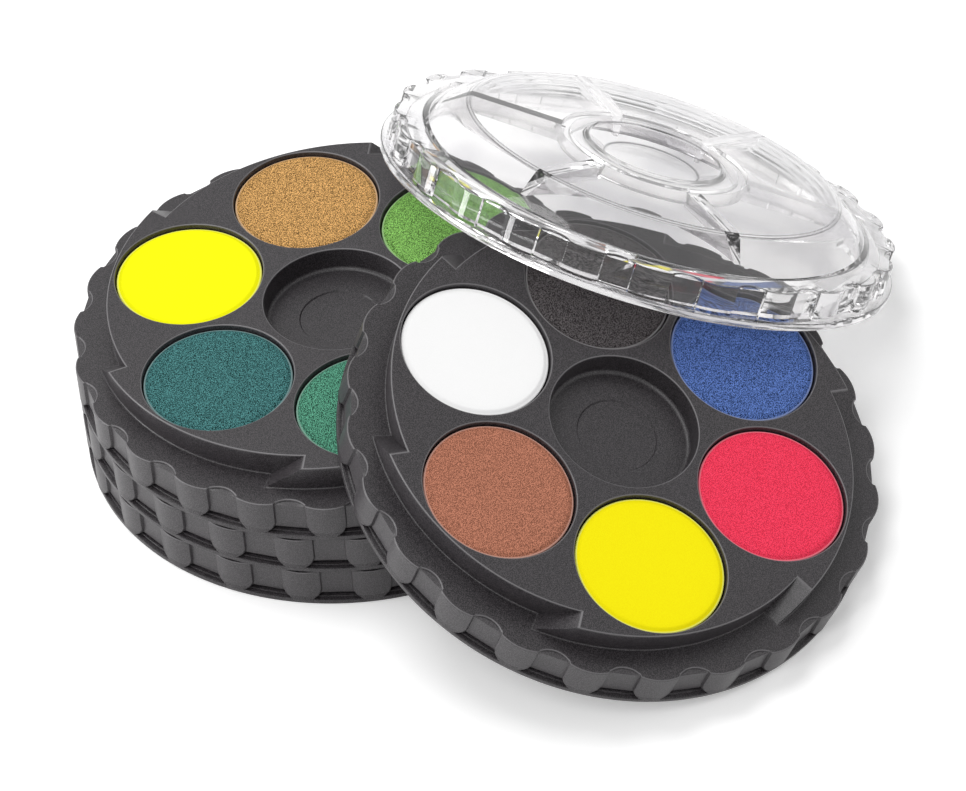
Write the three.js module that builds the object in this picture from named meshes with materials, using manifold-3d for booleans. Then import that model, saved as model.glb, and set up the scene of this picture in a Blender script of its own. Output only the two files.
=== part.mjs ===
// A round watercolour paint set: three trays of six paint tablets, twisted onto each other in a stack,
// a fourth tray that leans on the stack, and the set's clear lid, which leans on that tray.
// Millimetres and degrees, +Z up. The table is at Z = 0, and the origin is the middle of the footprint.
import * as THREE from 'three';
import { mergeVertices } from 'three/addons/utils/BufferGeometryUtils.js';
import Module from 'manifold-3d';

const wasm = await Module();
wasm.setup();

// Paint tablets and the pans that hold them
const panCount = 6;
const panRadius = 15.4;
const panWeb = 1.7;
const panDepth = 5.5;
const panFloor = 1.5;
const tabletClearance = 0.3;
const tabletSink = 0.6;

// The well in the middle of a tray, with a shallow round recess in its floor
const wellRadius = 15.3;
const wellDepth = 5.2;
const recessRadius = 8.2;
const recessDepth = 0.3;

// A tray: a rim below, a ledge on it, and a neck with slanting steps that the next tray twists onto
const rimHeight = 8.8;
const neckHeight = 6;
const neckMargin = 2.1;
const toothDepth = 3.8;
const stepAngle = 40;
const stepTurn = 9;
const plateThickness = 1.3;
const cupWall = 1.3;
const neckWall = 2.2;
const shelfThickness = 1;

// The fit of a neck in the socket of the tray or lid above it
const twistClearance = 0.9;
const stackGap = 0.3;
const mouthHeight = 1.2;
const mouthClearance = 1.5;

// The rim: a foot flange, a groove above it, and flat facets between rounded grip lobes
const ledgeWidth = 4.2;
const flangeOverhang = 0.8;
const flangeHeight = 1.1;
const grooveDepth = 1.6;
const grooveTop = 3.2;
const lobeCount = 24;
const lobeHeight = 1;
const lobeWidth = 8.2;
const lobeRise = 1.2;
const lobeBottom = 0.8;

// The clear lid: a plate on a cone, a shoulder, a skirt with the same lobes, and a wider flange
const lidWall = 1.2;
const lidShoulderHeight = 7.8;
const lidShoulderWidth = 5.5;
const lidConeFoot = 0.3;
const lidConeWidth = 7.4;
const lidDomeHeight = 6;
const lidFlangeOverhang = 2.2;
const lidFlangeHeight = 1.5;
const lidEdgeStep = 0.5;
const dishRadius = 14.3;
const dishSlopeWidth = 3.9;
const dishDepth = 3;
const ribCount = 6;
const ribAngle = 7.5;
const ribDepth = 5.5;
const ribRoot = 2.3;
const ribTip = 1.2;
const hubRadius = 20.5;
const hubWall = 2;
const hubDepth = 4.5;

// How the pieces stand: where the first pan of the top tray points, and how far each tray is turned back
const topTraySpin = 198.1;
const topTrayTwist = 7.5;
const middleTrayTwist = 0.8;
const leanTilt = 21.5;
const leanTowards = 0;
const leanSpin = 194.5;
const leanSideways = 0;
const leanClearance = 0.5;
const lidTilt = 27.9;
const lidTowards = 81;
const lidSpin = 115.8;
const lidSideways = 22.6;
const lidClearance = 0.6;
const slideReach = 150;
const slideAccuracy = 0.01;

// Facets of the round shapes, and the overrun of every cut
const roundSegments = 18;
const tabletSegments = 16;
const cupSegments = 12;
const insideSegments = 24;
const rimSegments = 48;
const toothSegments = 6;
const lobeSegments = 4;
const overrun = 1;

const fullTurn = 360;
const up = new THREE.Vector3(0, 0, 1);
const radians = THREE.MathUtils.degToRad;

// Sizes that follow from the ones above
const panRingRadius = panRadius + panWeb + Math.max(panRadius, wellRadius);
const toothAngle = fullTurn / panCount;
const turnPerHeight = stepTurn / neckHeight;
const neckRadius = panRingRadius + panRadius + neckMargin;
const trayHeight = rimHeight + neckHeight;
const stackPitch = rimHeight + stackGap;
const socketNeckTop = trayHeight - stackPitch;
const shelfHeight = rimHeight - shelfThickness;
const cupBottom = trayHeight - panDepth - panFloor;
const facetRadius = neckRadius + ledgeWidth;
const flangeRadius = facetRadius + flangeOverhang;
const grooveRadius = facetRadius - grooveDepth;
const lobeRadius = facetRadius + lobeHeight;
const lobePitch = fullTurn / lobeCount;
const lidHeight = lidShoulderHeight + lidDomeHeight;
const lidFlangeRadius = facetRadius + lidFlangeOverhang;
const lidConeRadius = facetRadius - lidShoulderWidth;
const lidPlateRadius = lidConeRadius - lidConeWidth;

// A closed geometry as a solid that can be joined and cut
function solid(geometry) {
  const bare = geometry.clone();
  bare.deleteAttribute('normal');
  bare.deleteAttribute('uv');
  const merged = mergeVertices(bare);
  return new wasm.Manifold(new wasm.Mesh({
    numProp: 3,
    vertProperties: new Float32Array(merged.attributes.position.array),
    triVerts: new Uint32Array(merged.index.array),
  }));
}

// The geometry of a finished solid
function geometryOf(body) {
  const { vertProperties, triVerts } = body.getMesh();
  const geometry = new THREE.BufferGeometry();
  geometry.setAttribute('position', new THREE.BufferAttribute(vertProperties, 3));
  geometry.setIndex(new THREE.BufferAttribute(triVerts, 1));
  geometry.computeVertexNormals();
  return geometry;
}

function joined(bodies) {
  return bodies.reduce((whole, body) => whole.add(body));
}

// A solid of revolution about Z, from [radius, height] pairs listed upwards from axis to axis
function revolved(profile, segments) {
  const points = profile.map(([radius, height]) => new THREE.Vector2(radius, height));
  return solid(new THREE.LatheGeometry(points, segments).rotateX(Math.PI / 2));
}

// An upright cylinder between two heights, with its axis at a radius in a direction
function drum(radius, bottom, top, segments, ringRadius = 0, angle = 0) {
  const geometry = new THREE.CylinderGeometry(radius, radius, top - bottom, segments).rotateX(Math.PI / 2);
  geometry.translate(ringRadius, 0, (bottom + top) / 2);
  return solid(geometry.rotateZ(radians(angle)));
}

// An upright prism of a shape between two heights
function prism(shape, bottom, top) {
  const geometry = new THREE.ExtrudeGeometry(shape, { depth: top - bottom, bevelEnabled: false });
  return solid(geometry.translate(0, 0, bottom));
}

// Copies of a solid, turned about Z at even angles
function aroundZ(body, count, firstAngle = 0) {
  const copies = [];
  for (let i = 0; i < count; i += 1) {
    copies.push(body.rotate([0, 0, firstAngle + (fullTurn * i) / count]));
  }
  return joined(copies);
}

// The saw-toothed outline of a neck: each tooth's radius falls evenly from one step to the next
function toothOutline(clearance) {
  const points = [];
  for (let tooth = 0; tooth < panCount; tooth += 1) {
    for (let i = 0; i <= toothSegments; i += 1) {
      const share = i / toothSegments;
      const angle = radians(stepAngle + toothAngle * (tooth + share));
      const radius = neckRadius + clearance - toothDepth * share;
      points.push(new THREE.Vector2(radius * Math.cos(angle), radius * Math.sin(angle)));
    }
  }
  return points;
}

// A saw-toothed body whose steps slant: its outline turns with height, and has its own angle at neckTop
function teeth(clearance, bottom, top, neckTop) {
  const outline = toothOutline(clearance);
  const count = outline.length;
  const positions = [];
  for (const z of [bottom, top]) {
    for (const point of outline) {
      const turned = point.clone().rotateAround(new THREE.Vector2(), radians(turnPerHeight * (z - neckTop)));
      positions.push(turned.x, turned.y, z);
    }
  }
  const faces = [];
  for (let i = 0; i < count; i += 1) {
    const next = (i + 1) % count;
    faces.push(i, next, count + i, next, count + next, count + i);
  }
  for (const [a, b, c] of THREE.ShapeUtils.triangulateShape(outline, [])) {
    faces.push(c, b, a, count + a, count + b, count + c);
  }
  const geometry = new THREE.BufferGeometry();
  geometry.setAttribute('position', new THREE.Float32BufferAttribute(positions, 3));
  geometry.setIndex(faces);
  return solid(geometry);
}

// The socket that a neck turns in, with a plain round mouth to lead it in
function socket(top) {
  const mouth = drum(neckRadius + mouthClearance, -overrun, mouthHeight, insideSegments);
  return teeth(twistClearance, 0, top, socketNeckTop).add(mouth);
}

// The plan of a grip lobe towards +X: its face is rounded across, and its root lies inside the rim
function lobePlan() {
  const halfWidth = lobeWidth / 2;
  const faceRadius = (halfWidth ** 2 + lobeRise ** 2) / (2 * lobeRise);
  const across = [];
  for (let i = 0; i <= lobeSegments; i += 1) {
    across.push(-halfWidth * Math.cos((Math.PI * i) / lobeSegments));
  }
  const faceCentre = lobeRadius - faceRadius;
  const plan = across.map((y) => new THREE.Vector2(faceCentre + Math.sqrt(faceRadius ** 2 - y ** 2), y));
  const root = grooveRadius - overrun;
  plan.push(new THREE.Vector2(root, halfWidth), new THREE.Vector2(root, -halfWidth));
  return new THREE.Shape(plan);
}

// One grip lobe of a tray: its lower end is a half circle seen from outside
function roundedLobe(bottom, top) {
  const halfWidth = lobeWidth / 2;
  const geometry = new THREE.ExtrudeGeometry(lobePlan(), { depth: top - bottom, bevelEnabled: false });
  const position = geometry.attributes.position;
  for (let i = 0; i < position.count; i += 1) {
    const rise = halfWidth - Math.sqrt(Math.max(0, halfWidth ** 2 - position.getY(i) ** 2));
    if (position.getZ(i) === 0) position.setZ(i, rise);
  }
  return solid(geometry.translate(0, 0, bottom));
}

// The faceted band between two heights, with its lobes on the corners
function gripBand(bottom, top, lobe) {
  const corners = [];
  const radius = facetRadius / Math.cos(radians(lobePitch / 2));
  for (let i = 0; i < lobeCount; i += 1) {
    const angle = radians(lobePitch * i);
    corners.push(new THREE.Vector2(radius * Math.cos(angle), radius * Math.sin(angle)));
  }
  return prism(new THREE.Shape(corners), bottom, top).add(aroundZ(lobe, lobeCount));
}

// One paint tray, standing on Z = 0 with its first pan towards +X
function makeTray() {
  const foot = revolved([
    [0, 0],
    [flangeRadius, 0],
    [flangeRadius, flangeHeight],
    [grooveRadius, flangeHeight],
    [grooveRadius, grooveTop + overrun],
    [0, grooveTop + overrun],
  ], rimSegments);
  const neck = teeth(0, shelfHeight, trayHeight, trayHeight);
  const grip = gripBand(grooveTop, rimHeight, roundedLobe(lobeBottom, rimHeight));
  const shell = foot.add(grip).add(neck);

  // Under the top plate the neck is hollow, and the cups of the pans and of the well hang in it
  const plateBottom = trayHeight - plateThickness;
  const inside = drum(neckRadius - toothDepth - neckWall, shelfHeight - overrun, plateBottom, insideSegments);
  const cup = drum(panRadius + cupWall, cupBottom, trayHeight, cupSegments, panRingRadius);
  const middleCup = drum(wellRadius + cupWall, cupBottom, trayHeight, cupSegments);
  const hollow = inside.subtract(aroundZ(cup, panCount).add(middleCup));

  const panBottom = trayHeight - panDepth;
  const pan = drum(panRadius, panBottom, trayHeight + overrun, roundSegments, panRingRadius);
  const wellBottom = trayHeight - wellDepth;
  const well = revolved([
    [0, wellBottom - recessDepth],
    [recessRadius, wellBottom - recessDepth],
    [recessRadius, wellBottom],
    [wellRadius, wellBottom],
    [wellRadius, trayHeight + overrun],
    [0, trayHeight + overrun],
  ], roundSegments);
  return shell.subtract(socket(shelfHeight)).subtract(hollow).subtract(aroundZ(pan, panCount)).subtract(well);
}

// One pressed tablet of paint, in the tray's frame, for a pan in the given direction
function makeTablet(angle) {
  const radius = panRadius - tabletClearance;
  const bottom = trayHeight - panDepth + tabletClearance;
  const top = trayHeight - tabletSink;
  const profile = [
    [0, bottom],
    [radius, bottom],
    [radius, top],
    [0, top],
  ].map(([r, z]) => new THREE.Vector2(r, z));
  const geometry = new THREE.LatheGeometry(profile, tabletSegments).rotateX(Math.PI / 2);
  return geometry.translate(panRingRadius, 0, 0).rotateZ(radians(angle));
}

// The clear lid, standing on Z = 0
function makeLid() {
  const plateTop = lidHeight;
  const coneBottom = lidShoulderHeight + lidConeFoot;
  const foot = revolved([
    [0, 0],
    [lidFlangeRadius, 0],
    [lidFlangeRadius, lidFlangeHeight],
    [0, lidFlangeHeight],
  ], rimSegments);
  const dome = revolved([
    [0, lidFlangeHeight],
    [lidConeRadius, lidFlangeHeight],
    [lidConeRadius, coneBottom],
    [lidPlateRadius, plateTop - lidEdgeStep],
    [lidPlateRadius - lidEdgeStep, plateTop],
    [0, plateTop],
  ], rimSegments);
  const skirtBottom = lidFlangeHeight - overrun;
  const lobe = prism(lobePlan(), skirtBottom, lidShoulderHeight);
  const skirt = gripBand(skirtBottom, lidShoulderHeight, lobe);
  const outside = foot.add(dome).add(skirt);

  const shoulderBottom = lidShoulderHeight - lidWall;
  const plateBottom = plateTop - lidWall;
  const inside = revolved([
    [0, 0],
    [lidConeRadius - lidWall, 0],
    [lidConeRadius - lidWall, coneBottom - lidWall],
    [lidPlateRadius - lidWall, plateBottom],
    [0, plateBottom],
  ], insideSegments);

  // Inside: the sunk dish in the middle of the plate, a hub ring round it, and ribs out to the cone
  const dishBottom = plateTop - dishDepth;
  const dishFloorRadius = dishRadius - dishSlopeWidth;
  const dishCup = revolved([
    [0, dishBottom - lidWall],
    [dishFloorRadius + lidWall, dishBottom - lidWall],
    [dishRadius + lidWall, plateTop],
    [0, plateTop],
  ], roundSegments);
  const dish = revolved([
    [0, dishBottom],
    [dishFloorRadius, dishBottom],
    [dishRadius, plateTop],
    [dishRadius, plateTop + overrun],
    [0, plateTop + overrun],
  ], roundSegments);
  const hub = drum(hubRadius, plateTop - hubDepth, plateBottom + overrun, roundSegments)
    .subtract(drum(hubRadius - hubWall, 0, plateTop, roundSegments));
  const ribFoot = plateTop - ribDepth;
  const ribSection = new THREE.Shape([
    new THREE.Vector2(-ribTip / 2, ribFoot),
    new THREE.Vector2(ribTip / 2, ribFoot),
    new THREE.Vector2(ribRoot / 2, plateBottom + overrun),
    new THREE.Vector2(-ribRoot / 2, plateBottom + overrun),
  ]);
  const ribLength = lidConeRadius - hubRadius + hubWall / 2;
  const rib = new THREE.ExtrudeGeometry(ribSection, { depth: ribLength, bevelEnabled: false });
  rib.rotateX(Math.PI / 2).rotateZ(Math.PI / 2).translate(hubRadius - hubWall / 2, 0, 0);
  const ribs = aroundZ(solid(rib), ribCount, ribAngle).intersect(dome);

  const shell = outside.subtract(inside).subtract(socket(shoulderBottom));
  return shell.add(joined([hub, ribs, dishCup])).subtract(dish);
}

// A direction on the table
function heading(angle) {
  return new THREE.Vector3(Math.cos(radians(angle)), Math.sin(radians(angle)), 0);
}

// A group at a place, tilted so that its top faces the given way, and turned about its own axis first
function tiltedGroup(place, towards, tilt, spin) {
  const group = new THREE.Group();
  group.position.copy(place);
  const turn = new THREE.Quaternion().setFromAxisAngle(up, radians(towards));
  const lean = new THREE.Quaternion().setFromAxisAngle(new THREE.Vector3(0, 1, 0), radians(tilt));
  const own = new THREE.Quaternion().setFromAxisAngle(up, radians(spin - towards));
  group.quaternion.copy(turn).multiply(lean).multiply(own);
  return group;
}

// The solid that a group's placing makes of a solid
function placed(body, group) {
  group.updateMatrix();
  return body.transform(group.matrix.elements);
}

// A group for a body that stands on the table on the lowest edge of its flange and leans on another:
// it slides over the table until it meets that one, and stops a clearance short
function leaning(body, rest, { radius, towards, tilt, spin, sideways, clearance }) {
  const out = heading(towards);
  const aside = heading(towards - fullTurn / 4);
  const centre = aside.multiplyScalar(sideways).setZ(radius * Math.sin(radians(tilt)));
  const placeAt = (distance) => centre.clone().addScaledVector(out, distance);
  const groupAt = (distance) => tiltedGroup(placeAt(distance), towards, tilt, spin);
  let near = 0;
  let far = slideReach;
  while (far - near > slideAccuracy) {
    const middle = (near + far) / 2;
    if (placed(body, groupAt(middle)).intersect(rest).isEmpty()) far = middle;
    else near = middle;
  }
  return groupAt(far + clearance);
}

const trayBody = makeTray();
const trayGeometry = geometryOf(trayBody);
const lidBody = makeLid();

function plastic(name, color, roughness) {
  return new THREE.MeshStandardMaterial({ name, color, roughness, metalness: 0 });
}

const clearPlastic = new THREE.MeshStandardMaterial({
  name: 'clear_plastic', color: 0xe8eef0, roughness: 0.05, metalness: 0, transparent: true, opacity: 0.3,
});

// The four trays, with the paint of each pan counted anticlockwise from the first pan
const paintRoughness = 0.75;
const trays = {
  bottom: {
    olive: 0x6f6a2c, sienna: 0x8f4a2a, umber: 0x4f3a2e, maroon: 0x6b2434, navy: 0x27304f, grey: 0x6d7075,
  },
  middle: {
    orange: 0xe8862c, vermilion: 0xd9432b, pink: 0xe58aa5,
    purple: 0x5b3a7a, sky_blue: 0x5fa3cf, turquoise: 0x2b9a9b,
  },
  top: {
    yellow: 0xf9f71c, teal: 0x3f6969, emerald: 0x2f7f56,
    violet: 0x57427f, grass_green: 0x5f8f45, ochre: 0xbb9059,
  },
  leaning: {
    white: 0xfafafa, brown: 0xa8725c, lemon: 0xf8e918, red: 0xe23c55, blue: 0x43588d, black: 0x2a2624,
  },
};

// A tray with its six tablets
function fillTray(group, name) {
  const tray = new THREE.Mesh(trayGeometry, plastic('black_plastic', 0x3c393c, 0.45));
  tray.name = `${name}_tray`;
  group.add(tray);
  Object.entries(trays[name]).forEach(([paint, color], i) => {
    const material = plastic(`${paint}_paint`, color, paintRoughness);
    const tablet = new THREE.Mesh(makeTablet(toothAngle * i), material);
    tablet.name = `${name}_${paint}_paint`;
    group.add(tablet);
  });
  return group;
}

const set = new THREE.Group();

// The stack: each tray stands a pitch above the last and is turned back on it
const spins = {
  bottom: topTraySpin + topTrayTwist + middleTrayTwist,
  middle: topTraySpin + topTrayTwist,
  top: topTraySpin,
};
const stackSolids = Object.entries(spins).map(([name, spin], level) => {
  const group = tiltedGroup(new THREE.Vector3(0, 0, stackPitch * level), 0, 0, spin);
  set.add(fillTray(group, name));
  return placed(trayBody, group);
});
const stackSolid = joined(stackSolids);

// The tray that leans on the stack
const leaningGroup = leaning(trayBody, stackSolid, {
  radius: flangeRadius,
  towards: leanTowards,
  tilt: leanTilt,
  spin: leanSpin,
  sideways: leanSideways,
  clearance: leanClearance,
});
set.add(fillTray(leaningGroup, 'leaning'));

// The lid behind them, which leans on that tray
const lidGroup = leaning(lidBody, stackSolid.add(placed(trayBody, leaningGroup)), {
  radius: lidFlangeRadius,
  towards: lidTowards,
  tilt: lidTilt,
  spin: lidSpin + lidTowards,
  sideways: lidSideways,
  clearance: lidClearance,
});
const lid = new THREE.Mesh(geometryOf(lidBody), clearPlastic);
lid.name = 'lid';
lidGroup.add(lid);
set.add(lidGroup);

// The origin moves to the middle of the whole footprint
const middle = new THREE.Box3().setFromObject(set, true).getCenter(new THREE.Vector3());
set.position.set(-middle.x, -middle.y, 0);

export default set;
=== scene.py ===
"""The looks of a round watercolour paint set: black trays of paint tablets and a clear lid.

Lengths in this script are millimetres in each piece's own frame, which stands on Z = 0.
They become metres when a mesh is made, and each piece is then placed where the frame has its node.
"""
import math

import bmesh
import bpy
import numpy as np
from mathutils import Matrix, Vector
from mathutils.geometry import tessellate_polygon


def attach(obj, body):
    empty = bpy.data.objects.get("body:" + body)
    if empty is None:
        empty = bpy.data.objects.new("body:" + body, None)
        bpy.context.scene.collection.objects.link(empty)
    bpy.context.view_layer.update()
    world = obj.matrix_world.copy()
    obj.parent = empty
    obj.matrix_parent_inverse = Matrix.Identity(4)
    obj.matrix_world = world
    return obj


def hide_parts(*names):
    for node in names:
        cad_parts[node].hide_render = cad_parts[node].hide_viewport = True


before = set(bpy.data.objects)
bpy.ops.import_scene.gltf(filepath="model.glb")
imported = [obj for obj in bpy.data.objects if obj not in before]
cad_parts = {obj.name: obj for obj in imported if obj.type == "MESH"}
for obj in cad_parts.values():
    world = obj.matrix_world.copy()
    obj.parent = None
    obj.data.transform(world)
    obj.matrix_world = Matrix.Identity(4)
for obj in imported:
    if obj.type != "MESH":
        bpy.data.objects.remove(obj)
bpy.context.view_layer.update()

MM = 0.001

# Tray and tablet sizes. All but the small roundings are the frame's
PANS = 6
PAN_RADIUS = 15.4
PAN_RING = 32.5
PAN_DEPTH = 5.5
TABLET_RADIUS = 15.1
TABLET_BOTTOM = 9.6
TABLET_TOP = 14.2
TABLET_CHAMFER = 0.2
TABLET_EDGE = 0.3
TABLET_CROWN = 0.35
TABLET_SHOULDER = 1.3
WELL_RADIUS = 15.3
WELL_DEPTH = 5.2
WELL_DRAFT = 0.15
WELL_FILLET = 0.9
RECESS_RADIUS = 8.2
RECESS_DEPTH = 0.3
TRAY_HEIGHT = 14.8
NECK_HEIGHT = 6.0
NECK_RADIUS = 50.0
TOOTH_DEPTH = 3.8
STEP_ANGLE = 40.0
STEP_TURN = 9.0
PLATE = 1.3
LEDGE = TRAY_HEIGHT - NECK_HEIGHT
CEILING = 7.8
SOCKET_STEPS_AT = 5.7
SOCKET_CLEARANCE = 0.9
MOUTH_RADIUS = 51.5
MOUTH_HEIGHT = 1.2
HOLLOW_RADIUS = 44.0
CUP_WALL = 1.3
PAN_CUP = PAN_RADIUS + CUP_WALL
WELL_CUP = WELL_RADIUS + CUP_WALL

# The rim and its grip lobes. A crescent is the hollow over the facet between two lobes. The lobes of the
# lid's skirt run down to its flange, so their rounded ends lie far below it
FLANGE_RADIUS = 55.0
FLANGE_HEIGHT = 1.1
GROOVE_RADIUS = 52.6
GROOVE_TOP = 2.2
BEAD_RADIUS = 53.9
BEAD_TOP = 1.3
FACET_RADIUS = 53.8
LOBES = 24
LOBE_RADIUS = 55.18
LOBE_WIDTH = 8.2
LOBE_RISE = 0.8
LOBE_BOTTOM = 0.6
LOBE_CORNER = 3.3
SKIRT_LOBE_BOTTOM = -20.0
CRESCENT_HEIGHT = 0.5
CRESCENT_DEPTH = 1.1
CRESCENT_STEP = 0.12

# Lid sizes
LID_HEIGHT = 13.8
LID_WALL = 1.2
LID_PLATE_RADIUS = 41.3
LID_CONE_RADIUS = 48.7
LID_SHOULDER = 7.8
LID_CONE_FOOT = 0.3
LID_EDGE_STEP = 0.5
LID_EDGE = 0.25
LID_FLANGE_RADIUS = 56.4
LID_FLANGE_HEIGHT = 1.5
LID_INNER_FOOT = 46.8
DISH_RADIUS = 14.3
DISH_FLOOR_RADIUS = 10.4
DISH_DEPTH = 3.0
HUB_RADIUS = 20.5
HUB_WALL = 2.0
HUB_DEPTH = 4.5
RIBS = 6
RIB_ANGLE = 7.5
RIB_DEPTH = 5.5
RIB_ROOT = 3.6
RIB_TIP = 1.3

# How each piece stands: the way its top faces, its tilt and its turn about its own axis, in degrees
STANCES = {
    "bottom": (0.0, 0.0, 206.4),
    "middle": (0.0, 0.0, 205.6),
    "top": (0.0, 0.0, 198.1),
    "leaning": (0.0, 21.5, 194.5),
    "lid": (81.0, 27.9, 196.8),
}

# Fineness of the meshes: points round a circle and along a tooth, and rows up a wall
CIRCLE = 128
TABLET_CIRCLE = 96
TOOTH_POINTS = 48
NECK_ROWS = 9
SOCKET_ROWS = 9
LID_SOCKET_ROWS = 8

# Across the rim, points lie at LOBE_PLACES from a lobe's middle, and at SIDE_PLACES from its side, in over
# the lobe and out over the facet
LOBE_PLACES = (0.0, 0.7, 1.4, 2.0, 2.5, 2.9, 3.2, 3.5)
SIDE_PLACES = (-0.35, -0.2, -0.1, 0.0, 0.3, 0.8, 1.4, 2.1)

# Up the rim, rows lie at set levels of the flange and the upper facets. Between them they lie a ROW apart, up
# to CLOSE_ROWS_TOP. Rows of the lid's skirt lie a SKIRT_ROW apart
FLANGE_LEVELS = (0.5, 0.7, 0.85)
FACET_LEVELS = (5.6, 6.4, 7.2)
CLOSE_ROWS_TOP = 5.2
ROW = 0.18
SKIRT_ROW = 0.6

# Rings of a tablet, as shares of the way in over its shoulder, and as radii on its flat top
SHOULDER_SHARES = (0.15, 0.35, 0.55, 0.75, 0.9, 1.0)
TABLET_RINGS = (8.0, 3.0)

# Faces that meet at more than SHARP show an edge, and points closer together than MERGE become one
SHARP = math.radians(35)
MERGE = 0.001

# Rounded edges: their radius and steps, the flat row beside each, and the softness of a lobe's sides
EDGE = 0.3
EDGE_STEPS = 4
SMALL_EDGE = 0.15
SUPPORT = 0.12
SOFTNESS = 0.2

# How strongly a tray's rim takes the paler painted colour, from 0 to 1: painted highlights at the edge of its
# ledge and at the facets' lower edge, and painted light elsewhere on the facets that makes them lighter
LEDGE_HIGHLIGHT = 0.8
OVERHANG_HIGHLIGHT = 0.5
FACET_PAINTED_LIGHT = 0.15

# Grain and clouds, as scale and detail of a noise, with the stops of their colour ramps. The noise is turned,
# so that no flat face lies along its lattice
GRAIN = (5800.0, 0.5)
GRAIN_STOPS = (0.4, 0.5, 0.6)
PLASTIC_CLOUD = (90.0, 3.0)
PLASTIC_CLOUD_STOPS = (0.3, 0.7)
LID_CLOUD = (60.0, 1.0)
LID_CLOUD_STOPS = (0.35, 0.65)
NOISE_TURN = (0.6, 0.4, 0.3)

# Black plastic: the colours of its grain and of the painted highlights on its edges, its roughness, and its
# bump's distance and strength
PLASTIC_DARK = "0e0b0e"
PLASTIC_MIDDLE = "262326"
PLASTIC_LIGHT = "444043"
PLASTIC_HIGHLIGHT = "6a686a"
PLASTIC_ROUGHNESS = (0.36, 0.44)
PLASTIC_BUMP = (0.00003, 0.45)

# Paint: how much darker and lighter the grains of the grainiest are, its pale edge, partly the paint's own
# paler edge and partly a painted highlight, and its bump
GRAIN_DARKER = 0.9
GRAIN_LIGHTER = 1.1
GRAIN_PALER = 0.03
EDGE_LIGHTER = 1.25
EDGE_PALER = 0.18
PAINT_ROUGHNESS = 0.9
PAINT_SPECULAR = 0.15
PAINT_BUMP = 0.00008
PAINT_BUMP_LEAST = 0.25
PAINT_BUMP_MORE = 0.35

# Clear plastic of the lid, with the colour of the painted dark reflections along its rounded edges, and the
# frosted plastic of its ribs
LID_TINT = "dfdee0"
LID_PALE = "f6f5f5"
LID_EDGE_DARK_REFLECTION = "39383c"
LID_ROUGHNESS = 0.04
RIB_TINT = "d8d7da"
RIB_ROUGHNESS = 0.45
CLEAR_IOR = 1.5

# How far a ray is followed, so that clear plastic behind clear plastic isn't black
GLOSSY_BOUNCES = 10
MAX_BOUNCES = 18

# Floor, light and camera, in metres, watts and degrees. A lamp is (place, size, watts), and the camera's
# aim is measured from the foot of the stack's axis
FLOOR_SIZE = 3.0
FLOOR_WHITE = 0.85
FLOOR_ROUGHNESS = 0.9
FLOOR_SPECULAR = 0.1
FLOOR_GLOW = 0.2
WORLD_LIGHT = 0.56
LAMPS = {
    "key": ((-0.5, -0.05, 1.5), 0.8, 8.2),
    "front": ((0.2, -1.0, 1.4), 0.6, 5.5),
    "side": ((-1.2, -1.05, 0.35), 0.7, 14.0),
}
CAMERA_AZIMUTH = -52.684
CAMERA_ELEVATION = 43.407
CAMERA_ROLL = -3.737
CAMERA_DISTANCE = 0.82094
CAMERA_AIM = (0.0335, 0.0029, 0.02)
PHOTO_WIDTH = 966
FOCAL_PIXELS = 4025
SENSOR = 36.0


# Ring outlines: lists of (x, y, z), anticlockwise seen from above

def circle(radius, z, centre=(0.0, 0.0), count=CIRCLE):
    turns = [2 * math.pi * i / count for i in range(count)]
    return [(centre[0] + radius * math.cos(t), centre[1] + radius * math.sin(t), z) for t in turns]


def toothed(z, steps_at, clearance=0.0, inset=0.0):
    """The saw-toothed outline at a height. Its steps stand at STEP_ANGLE at the height steps_at."""
    turn = STEP_TURN / NECK_HEIGHT * (z - steps_at)
    high = NECK_RADIUS + clearance
    tooth = 360.0 / PANS
    first = math.degrees(inset / high)
    last = tooth + math.degrees(inset / (high - TOOTH_DEPTH))
    points = []
    for k in range(PANS):
        for share in np.linspace(0, 1, TOOTH_POINTS):
            along = first + (last - first) * share
            radius = high - TOOTH_DEPTH * along / tooth - inset
            angle = math.radians(STEP_ANGLE + tooth * k + along + turn)
            points.append((radius * math.cos(angle), radius * math.sin(angle), z))
    return points


def smooth(x):
    x = min(max(x, 0.0), 1.0)
    return x * x * (3 - 2 * x)


def rim_across():
    """Places across one lobe and its half facets, closer together where the lobe's sides are."""
    half_pitch = math.pi * LOBE_RADIUS / LOBES
    half = [*LOBE_PLACES, *(LOBE_WIDTH / 2 + place for place in SIDE_PLACES), half_pitch]
    return [-x for x in reversed(half[1:])] + half[:-1]


def rim_radius(across, z, body, lobe_bottom, top):
    """The rim's radius at a place across a lobe and at a height. A body above zero is a round part's
    radius, and any other is added to the radius of the flat facets."""
    pitch = math.pi / LOBES
    from_middle = pitch - abs(across) / LOBE_RADIUS
    facet = FACET_RADIUS / math.cos(from_middle)
    aside = from_middle * LOBE_RADIUS
    half = FACET_RADIUS * math.sin(pitch) - LOBE_WIDTH / 2
    bend = (half ** 2 + CRESCENT_DEPTH ** 2) / (2 * CRESCENT_DEPTH)
    if aside < half:
        dip = FACET_RADIUS - CRESCENT_DEPTH + bend - math.sqrt(bend ** 2 - aside ** 2)
        facet += (min(dip, facet) - facet) * smooth((z - (top - CRESCENT_HEIGHT)) / CRESCENT_STEP + 0.5)
    if body <= 0:
        body += facet
    side = LOBE_WIDTH / 2
    beside = max(abs(across) - (side - LOBE_CORNER), 0.0)
    below = max(lobe_bottom + LOBE_CORNER - z, 0.0)
    reach = side - LOBE_CORNER + math.hypot(beside, below)
    face = (side ** 2 + LOBE_RISE ** 2) / (2 * LOBE_RISE)
    lobe = LOBE_RADIUS - face + math.sqrt(max(face ** 2 - across ** 2, 0))
    return body + max(lobe - body, 0) * smooth((side - reach) / SOFTNESS)


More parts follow.
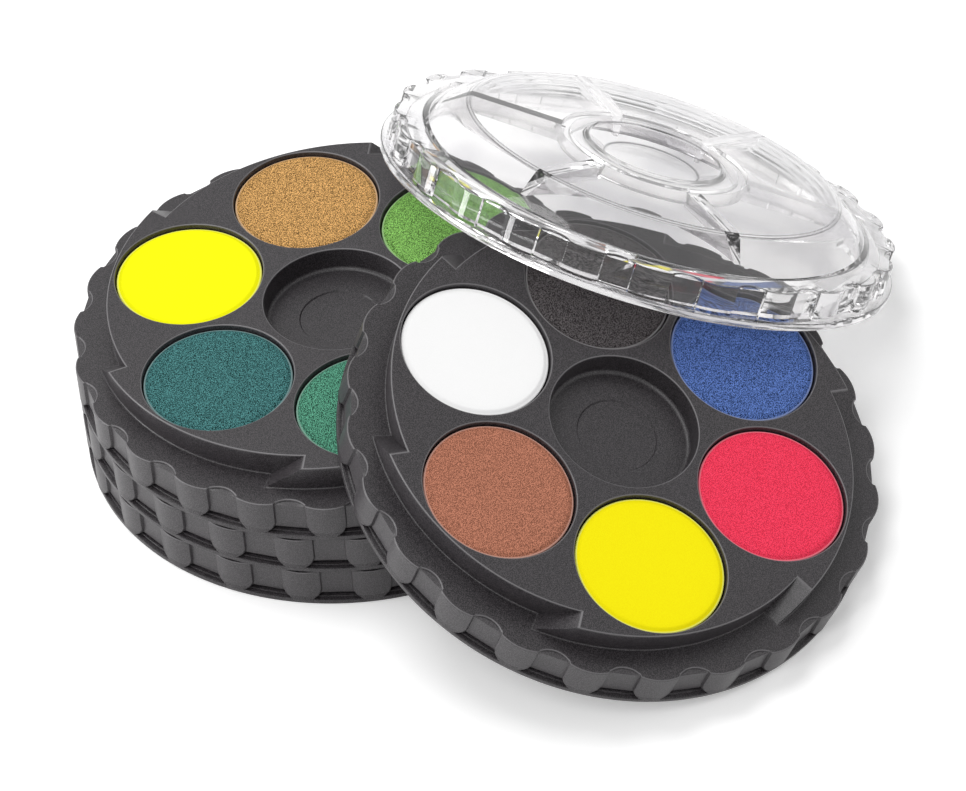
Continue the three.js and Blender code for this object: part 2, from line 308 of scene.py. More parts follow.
def rim_ring(z, inset, body, lobe_bottom, top):
    lobe = [(across, rim_radius(across, z, body, lobe_bottom, top) - inset) for across in rim_across()]
    points = []
    for k in range(LOBES):
        for across, radius in lobe:
            angle = 2 * math.pi * k / LOBES + across / LOBE_RADIUS
            points.append((radius * math.cos(angle), radius * math.sin(angle), z))
    return points


def rounding(radius=EDGE, steps=EDGE_STEPS):
    """Pairs (inset, drop) along a quarter round, from the flat top out to the upright side."""
    angles = [0.5 * math.pi * i / steps for i in range(steps + 1)]
    return [(radius * (1 - math.sin(a)), radius * (1 - math.cos(a))) for a in angles]


def painted_edge_share(inset, radius=EDGE):
    """How much of the painted edge colour a row of a rounded edge takes: most in its middle and not at all
    where it meets the flats.
    """
    return math.sin(math.pi * inset / radius) if 0 < inset < radius else 0.0


class Skin:
    """A mesh made of rings, joined by bands and closed by flat plates. Rings on an edge are marked for an
    edge colour, which is a painted highlight on the trays, a painted dark reflection on the lid and a pale
    edge on the tablets.
    """

    def __init__(self):
        self.points = []
        self.edge_tone_and_painted_light = []
        self.faces = []

    def ring(self, points, edge_tone_and_painted_light=0.0):
        first = len(self.points)
        self.points.extend(points)
        self.edge_tone_and_painted_light.extend([edge_tone_and_painted_light] * len(points))
        return list(range(first, len(self.points)))

    def bands(self, *rings):
        """Joins rings of one count. Going up faces out, going in faces up, going down faces in."""
        for near, far in zip(rings, rings[1:]):
            count = len(near)
            for i in range(count):
                j = (i + 1) % count
                self.faces.append((near[i], near[j], far[j], far[i]))

    def plate(self, outer, holes=(), up=True):
        """Fills the flat area inside one ring and outside others."""
        loops = (outer, *holes)
        index = [i for loop in loops for i in loop]
        for face in tessellate_polygon([[Vector(self.points[i]) for i in loop] for loop in loops]):
            a, b, c = (index[i] for i in face)
            pa, pb, pc = (Vector(self.points[i]) for i in (a, b, c))
            rises = (pb - pa).cross(pc - pa).z > 0
            self.faces.append((a, b, c) if rises == up else (a, c, b))

    def revolved(self, profile, centre=(0.0, 0.0), count=CIRCLE):
        """Rings along a profile of (radius, height, edge colour share), joined. Returns the first and the
        last ring.
        """
        rings = [self.ring(circle(r, z, centre, count), *edge_tone_and_painted_light) for r, z, *edge_tone_and_painted_light in profile]
        self.bands(*rings)
        return rings[0], rings[-1]

    def mesh(self, name):
        mesh = bpy.data.meshes.new(name)
        mesh.from_pydata([Vector(p) * MM for p in self.points], [], self.faces)
        mesh.attributes.new("edge_tone_and_painted_light", "FLOAT", "POINT").data.foreach_set("value", self.edge_tone_and_painted_light)
        work = bmesh.new()
        work.from_mesh(mesh)
        bmesh.ops.remove_doubles(work, verts=work.verts, dist=MERGE * MM)
        work.to_mesh(mesh)
        work.free()
        mesh.validate()
        mesh.shade_smooth()
        mesh.set_sharp_from_angle(angle=SHARP)
        return mesh


def heading(degrees, radius):
    return (radius * math.cos(math.radians(degrees)), radius * math.sin(math.radians(degrees)))


def arc(centre, radius, start, end, z, steps=16):
    """Points along the shorter arc of a circle between two points on it, without the last."""
    a = math.atan2(start[1] - centre[1], start[0] - centre[0])
    b = math.atan2(end[1] - centre[1], end[0] - centre[0])
    sweep = (b - a + math.pi) % (2 * math.pi) - math.pi
    turns = [a + sweep * i / steps for i in range(steps)]
    return [(centre[0] + radius * math.cos(t), centre[1] + radius * math.sin(t), z) for t in turns]


def crossing(first, first_radius, second, second_radius, side):
    """Where two circles cross, on the left (side 1) or the right (side -1) of the way between them."""
    first, second = Vector(first), Vector(second)
    way = second - first
    distance = way.length
    along = (distance ** 2 + first_radius ** 2 - second_radius ** 2) / (2 * distance)
    out = math.sqrt(first_radius ** 2 - along ** 2)
    unit = way / distance
    return first + unit * along + Vector((-unit.y, unit.x)) * out * side


def pockets(z):
    """Outlines of the hollows between the cups, under the tray's top plate."""
    outlines = []
    middle = (0.0, 0.0)
    for k in range(PANS):
        near = heading(360 / PANS * k, PAN_RING)
        far = heading(360 / PANS * (k + 1), PAN_RING)
        a = crossing(middle, WELL_CUP, near, PAN_CUP, 1)
        b = crossing(near, PAN_CUP, far, PAN_CUP, 1)
        c = crossing(far, PAN_CUP, middle, WELL_CUP, 1)
        outlines.append([*arc(near, PAN_CUP, a, b, z), *arc(far, PAN_CUP, b, c, z),
                         *arc(middle, WELL_CUP, c, a, z)])
        d = crossing(near, PAN_CUP, far, PAN_CUP, -1)
        e = crossing(middle, HOLLOW_RADIUS, near, PAN_CUP, 1)
        f = crossing(middle, HOLLOW_RADIUS, far, PAN_CUP, -1)
        outlines.append([*arc(near, PAN_CUP, d, e, z), *arc(middle, HOLLOW_RADIUS, e, f, z),
                         *arc(far, PAN_CUP, f, d, z)])
    return outlines


def clockwise(points):
    area = sum(a[0] * b[1] - b[0] * a[1] for a, b in zip(points, points[1:] + points[:1]))
    return points if area < 0 else points[::-1]


def rim_rows():
    """Rows of the tray's rim from its foot up, as (height, inset, body): the flange with a bead on it,
    the groove, the facets that overhang it and the ledge's edge. Rows close beside an edge keep it crisp."""
    quarter = rounding()
    small = rounding(SMALL_EDGE, 2)
    crescent = LEDGE - CRESCENT_HEIGHT
    rows = [(drop, inset, FLANGE_RADIUS) for inset, drop in quarter]
    rows += [(z, 0.0, FLANGE_RADIUS) for z in FLANGE_LEVELS]
    rows += [(FLANGE_HEIGHT - drop, 0.0, FLANGE_RADIUS - inset) for inset, drop in reversed(small)]
    rows += [(FLANGE_HEIGHT, 0.0, BEAD_RADIUS + 0.25), (FLANGE_HEIGHT + 0.02, 0.0, BEAD_RADIUS + 0.1)]
    rows += [(BEAD_TOP - drop, 0.0, BEAD_RADIUS - inset) for inset, drop in reversed(small)]
    rows += [(BEAD_TOP, 0.0, GROOVE_RADIUS + 0.2), (BEAD_TOP + 0.08, 0.0, GROOVE_RADIUS)]
    rows += [(z, 0.0, GROOVE_RADIUS) for z in np.arange(BEAD_TOP + 0.25, GROOVE_TOP - 0.1, ROW).round(2)]
    rows += [(GROOVE_TOP - 0.04, 0.0, GROOVE_RADIUS), (GROOVE_TOP, 0.0, GROOVE_RADIUS + 0.1)]
    rows += [(GROOVE_TOP + drop, 0.0, -inset) for inset, drop in small]
    rows += [(z, 0.0, 0.0) for z in np.arange(GROOVE_TOP + 0.3, CLOSE_ROWS_TOP, ROW).round(2)]
    upper = (*FACET_LEVELS, crescent - CRESCENT_STEP / 2, crescent + CRESCENT_STEP / 2)
    rows += [(z, 0.0, 0.0) for z in upper]
    rows += [(LEDGE - drop, inset, 0.0) for inset, drop in reversed(quarter)]
    rows.append((LEDGE, EDGE + SUPPORT, 0.0))
    return rows


def lip(skin, radius, z, centre):
    """The rounded mouth of a pan: the ring where the plate ends, and the ring where the wall starts."""
    rings = [skin.ring(circle(radius + EDGE + SUPPORT, z, centre))]
    rings += [skin.ring(circle(radius + inset, z - drop, centre), painted_edge_share(inset)) for inset, drop in rounding()]
    skin.bands(*rings)
    return rings[0], rings[-1]


def make_tray():
    """One tray: rim, ledge, neck, plate, pans and well above; socket, cups and pockets below."""
    skin = Skin()

    # The rim, from its foot up to the ledge
    quarter = rounding()
    rim = []
    for z, inset, body in rim_rows():
        # The rim's paler colour is painted light: highlights along its rounded edges, and a lighter tone over
        # the facets
        edge_tone_and_painted_light = LEDGE_HIGHLIGHT * painted_edge_share(inset) if z > LEDGE / 2 else OVERHANG_HIGHLIGHT * painted_edge_share(-body)
        if GROOVE_TOP < z < LEDGE - EDGE / 2:
            edge_tone_and_painted_light = max(edge_tone_and_painted_light, FACET_PAINTED_LIGHT)
        rim.append(skin.ring(rim_ring(z, inset, body, LOBE_BOTTOM, LEDGE), edge_tone_and_painted_light))
    skin.bands(*rim)

    # The neck, from a small fillet on the ledge up to its rounded top edge
    neck = [skin.ring(toothed(LEDGE, TRAY_HEIGHT, inset=-EDGE - SUPPORT))]
    neck += [skin.ring(toothed(LEDGE + drop, TRAY_HEIGHT, inset=-inset)) for inset, drop in quarter]
    levels = np.linspace(LEDGE + EDGE, TRAY_HEIGHT - EDGE, NECK_ROWS)[1:-1]
    neck += [skin.ring(toothed(z, TRAY_HEIGHT)) for z in levels]
    for inset, drop in reversed(quarter):
        neck.append(skin.ring(toothed(TRAY_HEIGHT - drop, TRAY_HEIGHT, inset=inset), painted_edge_share(inset)))
    neck.append(skin.ring(toothed(TRAY_HEIGHT, TRAY_HEIGHT, inset=EDGE + SUPPORT)))
    skin.bands(*neck)
    skin.plate(rim[-1], [neck[0]])

    # Pans and the middle well
    mouths = []
    for k in range(PANS):
        centre = heading(360 / PANS * k, PAN_RING)
        mouth, wall = lip(skin, PAN_RADIUS, TRAY_HEIGHT, centre)
        floor = skin.ring(circle(PAN_RADIUS, TRAY_HEIGHT - PAN_DEPTH, centre))
        skin.bands(wall, floor)
        skin.plate(floor)
        mouths.append(mouth)
    mouth, wall = lip(skin, WELL_RADIUS, TRAY_HEIGHT, (0.0, 0.0))
    floor_z = TRAY_HEIGHT - WELL_DEPTH
    foot = WELL_RADIUS - WELL_DRAFT
    profile = [(foot - inset, floor_z + drop) for inset, drop in reversed(rounding(WELL_FILLET))]
    profile.append((foot - WELL_FILLET - SUPPORT, floor_z))
    profile += [(RECESS_RADIUS + 0.25, floor_z), (RECESS_RADIUS + 0.12, floor_z)]
    profile += [(RECESS_RADIUS, floor_z - RECESS_DEPTH / 2), (RECESS_RADIUS - 0.12, floor_z - RECESS_DEPTH)]
    profile.append((RECESS_RADIUS - 0.3, floor_z - RECESS_DEPTH))
    first, last = skin.revolved(profile)
    skin.bands(wall, first)
    skin.plate(last)
    mouths.append(mouth)
    skin.plate(neck[-1], mouths)

    # The socket underneath, from its ceiling down to its mouth, and the foot that the tray stands on
    outlines = [skin.ring(clockwise(outline)) for outline in pockets(CEILING)]
    levels = np.linspace(CEILING, MOUTH_HEIGHT, SOCKET_ROWS)
    socket = [skin.ring(toothed(z, SOCKET_STEPS_AT, SOCKET_CLEARANCE)) for z in levels]
    skin.bands(*socket)
    skin.plate(socket[0], outlines, up=False)
    for outline in outlines:
        top = skin.ring([(skin.points[i][0], skin.points[i][1], TRAY_HEIGHT - PLATE) for i in outline])
        skin.bands(outline, top)
        skin.plate(top, up=False)
    mouth = [skin.ring(circle(MOUTH_RADIUS, MOUTH_HEIGHT))]
    mouth += [skin.ring(circle(MOUTH_RADIUS + inset, drop)) for inset, drop in reversed(quarter)]
    mouth.append(skin.ring(circle(MOUTH_RADIUS + EDGE + SUPPORT, 0)))
    skin.bands(*mouth)
    skin.plate(mouth[0], [socket[-1]], up=False)
    skin.plate(rim[0], [mouth[-1]], up=False)
    return skin.mesh("tray")


def make_tablet():
    """A pressed tablet of paint about Z: its top is flat to a shoulder and then falls a little."""
    skin = Skin()
    side_top = TABLET_TOP - TABLET_CROWN
    rows = [(TABLET_RADIUS - TABLET_CHAMFER, TABLET_BOTTOM, 0.0),
            (TABLET_RADIUS, TABLET_BOTTOM + TABLET_CHAMFER, 0.0)]
    # The side's rounding takes the pale edge, partly the paint's own paler edge and partly a painted
    # highlight
    rows += [(TABLET_RADIUS - inset, side_top - drop, 1.0) for inset, drop in reversed(rounding(TABLET_EDGE))]
    for share in SHOULDER_SHARES:
        radius = TABLET_RADIUS - TABLET_EDGE - (TABLET_SHOULDER - TABLET_EDGE) * share
        rows.append((radius, TABLET_TOP - TABLET_CROWN * (1 - smooth(share)), 0.0))
    rows += [(radius, TABLET_TOP, 0.0) for radius in (TABLET_RADIUS - TABLET_SHOULDER - 1.0, *TABLET_RINGS)]
    rings = [skin.ring(circle(radius, z, count=TABLET_CIRCLE), edge_tone_and_painted_light) for radius, z, edge_tone_and_painted_light in rows]
    skin.bands(*rings)
    skin.plate(rings[0], up=False)
    skin.plate(rings[-1])
    return skin.mesh("tablet")


def make_lid():
    """The lid's shell; its ribs are joined to it afterwards. The small offsets in its profiles round
    their corners."""
    skin = Skin()
    quarter = rounding(LID_EDGE)

    # Under the plate: the dish, the hub ring and the cone down to the socket's ceiling
    ceiling = LID_HEIGHT - LID_WALL
    hub_foot = LID_HEIGHT - HUB_DEPTH
    shelf = LID_SHOULDER - LID_WALL
    dish_foot = LID_HEIGHT - DISH_DEPTH - LID_WALL
    # A third value of 1.0 in a profile marks a rounded edge for the painted dark reflection
    inner, foot = skin.revolved([
        (DISH_FLOOR_RADIUS, dish_foot), (DISH_FLOOR_RADIUS + 0.9, dish_foot + 0.1),
        (DISH_FLOOR_RADIUS + 1.3, dish_foot + 0.4), (DISH_RADIUS + 0.9, ceiling - 0.3),
        (DISH_RADIUS + 1.2, ceiling - 0.1), (DISH_RADIUS + 1.7, ceiling),
        (HUB_RADIUS - HUB_WALL - 0.1, ceiling), (HUB_RADIUS - HUB_WALL, ceiling - 0.1),
        (HUB_RADIUS - HUB_WALL, hub_foot + 0.4),
        (HUB_RADIUS - HUB_WALL, hub_foot + 0.1, 1.0), (HUB_RADIUS - HUB_WALL + 0.1, hub_foot, 1.0),
        (HUB_RADIUS - HUB_WALL + 0.4, hub_foot), (HUB_RADIUS - 0.4, hub_foot),
        (HUB_RADIUS - 0.1, hub_foot, 1.0), (HUB_RADIUS, hub_foot + 0.1, 1.0),
        (HUB_RADIUS, hub_foot + 0.4), (HUB_RADIUS, ceiling - 0.1), (HUB_RADIUS + 0.1, ceiling),
        (LID_PLATE_RADIUS - LID_WALL - 0.3, ceiling), (LID_PLATE_RADIUS - LID_WALL + 0.2, ceiling - 0.2),
        (LID_INNER_FOOT - 0.1, shelf + 0.1), (LID_INNER_FOOT, shelf),
    ])
    skin.plate(inner, up=False)

    levels = np.linspace(shelf, MOUTH_HEIGHT, LID_SOCKET_ROWS)
    socket = [skin.ring(toothed(z, SOCKET_STEPS_AT, SOCKET_CLEARANCE)) for z in levels]
    skin.bands(*socket)
    skin.plate(socket[0], [foot], up=False)
    mouth = [skin.ring(circle(MOUTH_RADIUS, MOUTH_HEIGHT))]
    mouth += [skin.ring(circle(MOUTH_RADIUS + inset, drop)) for inset, drop in reversed(quarter)]
    skin.bands(*mouth)
    skin.plate(mouth[0], [socket[-1]], up=False)

    # The flange, and the lobed skirt that stands on it
    sides = [*quarter, *((inset, LID_FLANGE_HEIGHT - drop) for inset, drop in reversed(quarter))]
    # The flange's and the skirt's rounded edges take the painted dark reflection
    flange = [skin.ring(circle(LID_FLANGE_RADIUS - inset, z), painted_edge_share(inset, LID_EDGE)) for inset, z in sides]
    skin.bands(*flange)
    skin.plate(flange[0], [mouth[-1]], up=False)
    crescent = LID_SHOULDER - CRESCENT_HEIGHT
    levels = [LID_FLANGE_HEIGHT, *np.arange(LID_FLANGE_HEIGHT + 0.4, LID_SHOULDER - 0.6, SKIRT_ROW),
              crescent - CRESCENT_STEP / 2, crescent + CRESCENT_STEP / 2]
    rows = [(z, 0.0) for z in levels] + [(LID_SHOULDER - drop, inset) for inset, drop in reversed(quarter)]
    skirt = [skin.ring(rim_ring(z, inset, 0.0, SKIRT_LOBE_BOTTOM, LID_SHOULDER), painted_edge_share(inset, LID_EDGE))
             for z, inset in rows]
    skin.bands(*skirt)
    skin.plate(flange[-1], [skirt[0]])

    # The shoulder, the cone, the plate and its dish
    top = LID_HEIGHT
    cone_foot = LID_SHOULDER + LID_CONE_FOOT
    # Here too a third value of 1.0 marks a rounded edge for the painted dark reflection
    outline = [
        (LID_CONE_RADIUS + 0.6, LID_SHOULDER), (LID_CONE_RADIUS + 0.3, LID_SHOULDER + 0.04, 1.0),
        (LID_CONE_RADIUS, cone_foot), (LID_PLATE_RADIUS, top - LID_EDGE_STEP),
        (LID_PLATE_RADIUS - 0.12, top - LID_EDGE_STEP + 0.15, 1.0), (LID_PLATE_RADIUS - 0.55, top - 0.22),
        (LID_PLATE_RADIUS - 0.75, top - 0.06, 1.0), (LID_PLATE_RADIUS - 1.0, top), (DISH_RADIUS + 0.8, top),
        (DISH_RADIUS + 0.3, top - 0.04, 1.0), (DISH_RADIUS, top - 0.25),
        (DISH_FLOOR_RADIUS + 0.3, top - DISH_DEPTH + 0.35),
        (DISH_FLOOR_RADIUS, top - DISH_DEPTH + 0.08, 1.0), (DISH_FLOOR_RADIUS - 0.5, top - DISH_DEPTH),
    ]
    first, last = skin.revolved(outline)
    skin.plate(skirt[-1], [first])
    skin.plate(last)
    return skin.mesh("lid")


def make_ribs():
    """The ribs under the lid's plate, each a wedge that thins downwards and ends inside the cone's wall."""
    skin = Skin()
    root_z = LID_HEIGHT - LID_WALL / 2
    tip_z = LID_HEIGHT - RIB_DEPTH
    slope = (LID_CONE_RADIUS - LID_PLATE_RADIUS) / (LID_HEIGHT - LID_SHOULDER)
    outer_root = LID_PLATE_RADIUS - LID_WALL / 2
    outer_tip = min(outer_root + slope * (root_z - tip_z), LID_INNER_FOOT + LID_WALL / 2)
    inner = HUB_RADIUS - HUB_WALL / 2
    for k in range(RIBS):
        turn = Matrix.Rotation(math.radians(RIB_ANGLE + 360 / RIBS * k), 3, "Z")
        corners = []
        for radius, z, width in ((inner, tip_z, RIB_TIP), (outer_tip, tip_z, RIB_TIP),
                                 (outer_root, root_z, RIB_ROOT), (inner, root_z, RIB_ROOT)):
            corners.append([tuple(turn @ Vector((radius, side * width / 2, z))) for side in (-1, 1)])
        right = skin.ring([pair[0] for pair in corners])
        left = skin.ring([pair[1] for pair in corners])
        skin.faces.append(tuple(right))
        skin.faces.append(tuple(reversed(left)))
        for i in range(4):
            j = (i + 1) % 4
            skin.faces.append((right[j], right[i], left[i], left[j]))
    return skin.mesh("ribs")


def joined(name, mesh, other):
    """The union of two closed meshes."""
    base = bpy.data.objects.new(name, mesh)
    tool = bpy.data.objects.new("tool", other)
    for obj in (base, tool):
        bpy.context.scene.collection.objects.link(obj)
    union = base.modifiers.new("union", "BOOLEAN")
    union.operation = "UNION"
    union.solver = "MANIFOLD"
    union.object = tool
    evaluated = base.evaluated_get(bpy.context.evaluated_depsgraph_get())
    result = bpy.data.meshes.new_from_object(evaluated)
    for obj in (base, tool):
        bpy.data.objects.remove(obj)
    result.shade_smooth()
    result.set_sharp_from_angle(angle=SHARP)
    return result


# Places

def placing(name, node):
    """The matrix from a piece's own frame to the model's: known turns, and the place measured on the node."""
    towards, tilt, spin = STANCES[name]
    rotation = (Matrix.Rotation(math.radians(towards), 3, "Z") @ Matrix.Rotation(math.radians(tilt), 3, "Y")
                @ Matrix.Rotation(math.radians(spin - towards), 3, "Z"))
    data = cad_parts[node].data
    flat = np.empty(len(data.vertices) * 3, np.float32)
    data.vertices.foreach_get("co", flat)
    local = flat.reshape(-1, 3) @ np.array(rotation)
    low, high = local.min(0), local.max(0)
    centre = rotation @ Vector(((low[0] + high[0]) / 2, (low[1] + high[1]) / 2, low[2]))
    return Matrix.Translation(centre) @ rotation.to_4x4()


def piece(name, mesh, matrix, body, node):
    """Puts a mesh in its place, as a piece that rides on a body and stands for a node."""
    mesh.transform(matrix)
    obj = bpy.data.objects.new(name, mesh)
    bpy.context.scene.collection.objects.link(obj)
    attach(obj, body)
    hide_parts(node)


# Materials

def new_material(name):
    material = bpy.data.materials.new(name)
    material.use_nodes = True
    nodes = material.node_tree.nodes
    return material, nodes, material.node_tree.links, nodes["Principled BSDF"]


def noise(nodes, links, scale, detail):
    """Noise through the whole piece."""
    place = nodes.new("ShaderNodeTexCoord").outputs["Object"]
    turned = nodes.new("ShaderNodeMapping")
    turned.inputs["Rotation"].default_value = NOISE_TURN
    links.new(place, turned.inputs["Vector"])
    texture = nodes.new("ShaderNodeTexNoise")
    texture.inputs["Scale"].default_value = scale
    texture.inputs["Detail"].default_value = detail
    links.new(turned.outputs["Vector"], texture.inputs["Vector"])
    return texture.outputs["Fac"]


def ramp(nodes, links, value, stops):
    node = nodes.new("ShaderNodeValToRGB")
    elements = node.color_ramp.elements
    while len(elements) < len(stops):
        elements.new(0.5)
    for element, (position, color) in zip(elements, stops):
        element.position = position
        element.color = (*color, 1.0)
    links.new(value, node.inputs["Fac"])
    return node.outputs["Color"]


def bump(nodes, links, height, distance, strength, shader):
    node = nodes.new("ShaderNodeBump")
    node.inputs["Distance"].default_value = distance
    node.inputs["Strength"].default_value = strength
    links.new(height, node.inputs["Height"])
    links.new(node.outputs["Normal"], shader.inputs["Normal"])


def linear(code):
    """A colour from its sRGB code."""
    values = [int(code[i:i + 2], 16) / 255 for i in (0, 2, 4)]
    return tuple(v / 12.92 if v <= 0.04045 else ((v + 0.055) / 1.055) ** 2.4 for v in values)


def mix_edge_tone_and_painted_light(nodes, links, color, edge_color, shader):
    """Gives the shader a colour that turns into another one along the marked edges: painted highlights on
    black plastic, painted dark reflections on clear plastic, and a pale edge on paint.
    """
    edge_tone_and_painted_light = nodes.new("ShaderNodeAttribute")
    edge_tone_and_painted_light.attribute_name = "edge_tone_and_painted_light"
    mix = nodes.new("ShaderNodeMix")
    mix.data_type = "RGBA"
    links.new(edge_tone_and_painted_light.outputs["Fac"], mix.inputs["Factor"])
    links.new(color, mix.inputs["A"])
    mix.inputs["B"].default_value = (*edge_color, 1.0)
    links.new(mix.outputs["Result"], shader.inputs["Base Color"])


def black_plastic():
    """Moulded black plastic: satin, with a fine grain, faint clouds, and painted highlights that make its
    edges and facets paler.
    """
    material, nodes, links, shader = new_material("black_plastic")
    grain = noise(nodes, links, *GRAIN)
    stops = zip(GRAIN_STOPS, (linear(PLASTIC_DARK), linear(PLASTIC_MIDDLE), linear(PLASTIC_LIGHT)))
    # Edges and facets take a paler colour, as painted highlights and painted light
    mix_edge_tone_and_painted_light(nodes, links, ramp(nodes, links, grain, list(stops)), linear(PLASTIC_HIGHLIGHT), shader)
    cloud = noise(nodes, links, *PLASTIC_CLOUD)
    greys = ((roughness,) * 3 for roughness in PLASTIC_ROUGHNESS)
    gloss = ramp(nodes, links, cloud, list(zip(PLASTIC_CLOUD_STOPS, greys)))
    links.new(gloss, shader.inputs["Roughness"])
    bump(nodes, links, grain, *PLASTIC_BUMP, shader)
    return material


def paint(name, code, grainy):
    """Pressed paint: a matte colour with darker and lighter grains in it, and a pale edge, partly the paint's
    own paler edge and partly a painted highlight.
    """
    material, nodes, links, shader = new_material(name)
    color = Vector(linear(code))
    grain = noise(nodes, links, *GRAIN)
    dark = tuple(color * (1 - GRAIN_DARKER * grainy))
    light = tuple(min(c * (1 + GRAIN_LIGHTER * grainy) + GRAIN_PALER * grainy, 1.0) for c in color)
    grains = ramp(nodes, links, grain, list(zip(GRAIN_STOPS, (dark, tuple(color), light))))
    # The pale edge: partly the paint's own paler edge, partly a painted highlight
    edge = tuple(min(c * EDGE_LIGHTER + EDGE_PALER, 1.0) for c in color)
    mix_edge_tone_and_painted_light(nodes, links, grains, edge, shader)
    shader.inputs["Roughness"].default_value = PAINT_ROUGHNESS
    shader.inputs["Specular IOR Level"].default_value = PAINT_SPECULAR
    bump(nodes, links, grain, PAINT_BUMP, PAINT_BUMP_LEAST + PAINT_BUMP_MORE * grainy, shader)
    return material


def clear_plastic(name, tint, roughness):
    """Clear moulded plastic, a little grey, with painted dark reflections along its edges."""
    material, nodes, links, shader = new_material(name)
    cloud = noise(nodes, links, *LID_CLOUD)
    color = ramp(nodes, links, cloud, list(zip(LID_CLOUD_STOPS, (linear(tint), linear(LID_PALE)))))
    # Rounded edges are painted darker, as a painted dark reflection
    mix_edge_tone_and_painted_light(nodes, links, color, linear(LID_EDGE_DARK_REFLECTION), shader)
    shader.inputs["Transmission Weight"].default_value = 1.0
    shader.inputs["IOR"].default_value = CLEAR_IOR
    shader.inputs["Roughness"].default_value = roughness
    return material


# Pieces

# Each tablet of a tray is turned this much further than the last, in radians
TABLET_TURN = 1.3

# Paint colours and how grainy each is, in the order of the pans
PAINTS = {
    "bottom": {
        "olive": ("6f6a2c", 0.6), "sienna": ("8f4a2a", 0.6), "umber": ("4f3a2e", 0.7),
        "maroon": ("6b2434", 0.6), "navy": ("27304f", 0.6), "grey": ("6d7075", 0.6),
    },
    "middle": {
        "orange": ("e8862c", 0.3), "vermilion": ("d9432b", 0.3), "pink": ("e58aa5", 0.3),
        "purple": ("5b3a7a", 0.6), "sky_blue": ("5fa3cf", 0.5), "turquoise": ("2b9a9b", 0.6),
    },
    "top": {
        "yellow": ("fcfb06", 0.03), "teal": ("306161", 1.0), "emerald": ("427f67", 1.0),
        "violet": ("57427f", 0.7), "grass_green": ("70a24e", 0.85), "ochre": ("b3884f", 0.9),
    },
    "leaning": {
        "white": ("fefefe", 0.01), "brown": ("a86c55", 0.5), "lemon": ("fff005", 0.03),
        "red": ("fd3856", 0.4), "blue": ("45609c", 0.9), "black": ("423e3f", 0.95),
    },
}

tray_mesh = make_tray()
tray_mesh.materials.append(black_plastic())
stack_axis = placing("bottom", "bottom_tray").translation
for tray, paints in PAINTS.items():
    node = f"{tray}_tray"
    matrix = placing(tray, node)
    piece(f"{tray}_tray_look", tray_mesh.copy(), matrix, node, node)
    for k, (color, (code, grainy)) in enumerate(paints.items()):
        x, y = heading(360 / PANS * k, PAN_RING)
        shift = Matrix.Translation(Vector((x, y, 0)) * MM) @ Matrix.Rotation(TABLET_TURN * k, 4, "Z")
        tablet = f"{tray}_{color}_paint"
        slot = f"{color}_paint"
        tablet_mesh = make_tablet()
        tablet_mesh.materials.append(paint(slot, code, grainy))
        piece(f"{tablet}_look", tablet_mesh, matrix @ shift, node, tablet)

shell, ribs = make_lid(), make_ribs()
shell.materials.append(clear_plastic("clear_plastic", LID_TINT, LID_ROUGHNESS))
ribs.materials.append(clear_plastic("frosted_plastic", RIB_TINT, RIB_ROUGHNESS))
piece("lid_look", joined("lid_shell", shell, ribs), placing("lid", "lid"), "lid", "lid")


# Floor, light and camera

def shown_white(nodes, links, seen, others, output):
    """Sends one shader to camera, glossy and transmission rays, and another to the rest."""
    path = nodes.new("ShaderNodeLightPath")
    total = path.outputs["Is Camera Ray"]
    for kind in ("Is Glossy Ray", "Is Transmission Ray"):
        either = nodes.new("ShaderNodeMath")
        either.operation = "MAXIMUM"
        links.new(total, either.inputs[0])
        links.new(path.outputs[kind], either.inputs[1])
        total = either.outputs["Value"]
    mix = nodes.new("ShaderNodeMixShader")
    links.new(total, mix.inputs["Fac"])
    links.new(others, mix.inputs[1])
    links.new(seen, mix.inputs[2])
    links.new(mix.outputs["Shader"], output.inputs["Surface"])


def make_floor():
    """A white sheet. To the eye it glows a little, so that only the shadow close to the object shows."""
    mesh = bpy.data.meshes.new("floor")
    corners = [(x * FLOOR_SIZE, y * FLOOR_SIZE, 0) for x, y in ((-1, -1), (1, -1), (1, 1), (-1, 1))]
    mesh.from_pydata(corners, [], [(0, 1, 2, 3)])
    floor = bpy.data.objects.new("floor", mesh)
    bpy.context.scene.collection.objects.link(floor)
    material, nodes, links, shader = new_material("floor_paper")
    seen = nodes.new("ShaderNodeBsdfPrincipled")
    for paper, whiteness in ((shader, FLOOR_WHITE), (seen, 1.0)):
        paper.inputs["Base Color"].default_value = (whiteness, whiteness, whiteness, 1.0)
        paper.inputs["Roughness"].default_value = FLOOR_ROUGHNESS
        paper.inputs["Specular IOR Level"].default_value = FLOOR_SPECULAR
    seen.inputs["Emission Color"].default_value = (1.0, 1.0, 1.0, 1.0)
    seen.inputs["Emission Strength"].default_value = FLOOR_GLOW
    shown_white(nodes, links, seen.outputs["BSDF"], shader.outputs["BSDF"], nodes["Material Output"])
    mesh.materials.append(material)


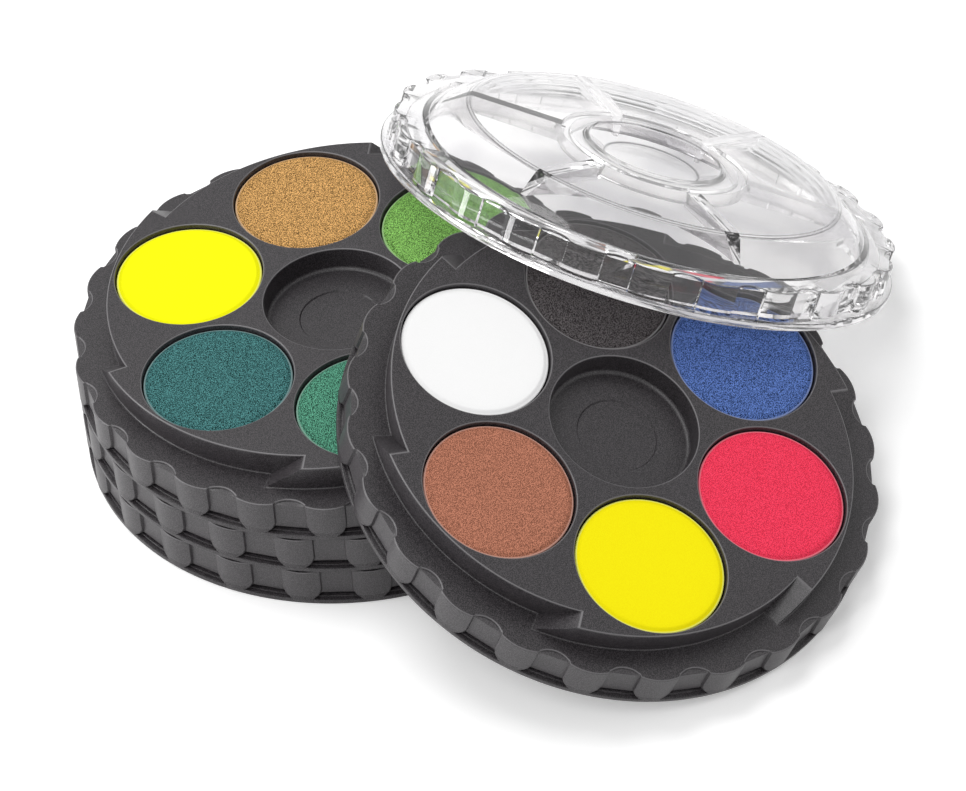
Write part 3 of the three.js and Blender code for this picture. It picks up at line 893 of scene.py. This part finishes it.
def make_light(name, place, size, watts):
    """A round soft lamp that faces the middle of the object."""
    lamp = bpy.data.lights.new(name, "AREA")
    lamp.shape = "DISK"
    lamp.size = size
    lamp.energy = watts
    obj = bpy.data.objects.new(name, lamp)
    obj.location = place
    obj.rotation_euler = (-Vector(place)).to_track_quat("-Z", "Y").to_euler()
    bpy.context.scene.collection.objects.link(obj)


def make_world():
    """White to the eye and in reflections, and a plain soft light on the object."""
    world = bpy.data.worlds.new("studio")
    bpy.context.scene.world = world
    world.use_nodes = True
    nodes, links = world.node_tree.nodes, world.node_tree.links
    light = nodes["Background"]
    light.inputs["Color"].default_value = (1.0, 1.0, 1.0, 1.0)
    light.inputs["Strength"].default_value = WORLD_LIGHT
    white = nodes.new("ShaderNodeBackground")
    white.inputs["Color"].default_value = (1.0, 1.0, 1.0, 1.0)
    shown_white(nodes, links, white.outputs["Background"], light.outputs["Background"], nodes["World Output"])


def make_camera():
    """The photograph's view: a long lens on a point between the stack and the leaning tray."""
    azimuth, elevation, roll = map(math.radians, (CAMERA_AZIMUTH, CAMERA_ELEVATION, CAMERA_ROLL))
    level = math.cos(elevation)
    out = Vector((level * math.cos(azimuth), level * math.sin(azimuth), math.sin(elevation)))
    place = stack_axis + Vector(CAMERA_AIM) + out * CAMERA_DISTANCE
    turn = (-out).to_track_quat("-Z", "Y").to_matrix().to_4x4() @ Matrix.Rotation(roll, 4, "Z")
    data = bpy.data.cameras.new("camera")
    data.sensor_width = SENSOR
    data.lens = FOCAL_PIXELS * SENSOR / PHOTO_WIDTH
    camera = bpy.data.objects.new("camera", data)
    camera.matrix_world = Matrix.Translation(place) @ turn
    bpy.context.scene.collection.objects.link(camera)
    bpy.context.scene.camera = camera


make_floor()
for lamp_name, (lamp_place, lamp_size, lamp_watts) in LAMPS.items():
    make_light(lamp_name, lamp_place, lamp_size, lamp_watts)
make_world()
make_camera()
bpy.context.scene.view_settings.view_transform = "Standard"
bpy.context.scene.cycles.glossy_bounces = GLOSSY_BOUNCES
bpy.context.scene.cycles.max_bounces = MAX_BOUNCES
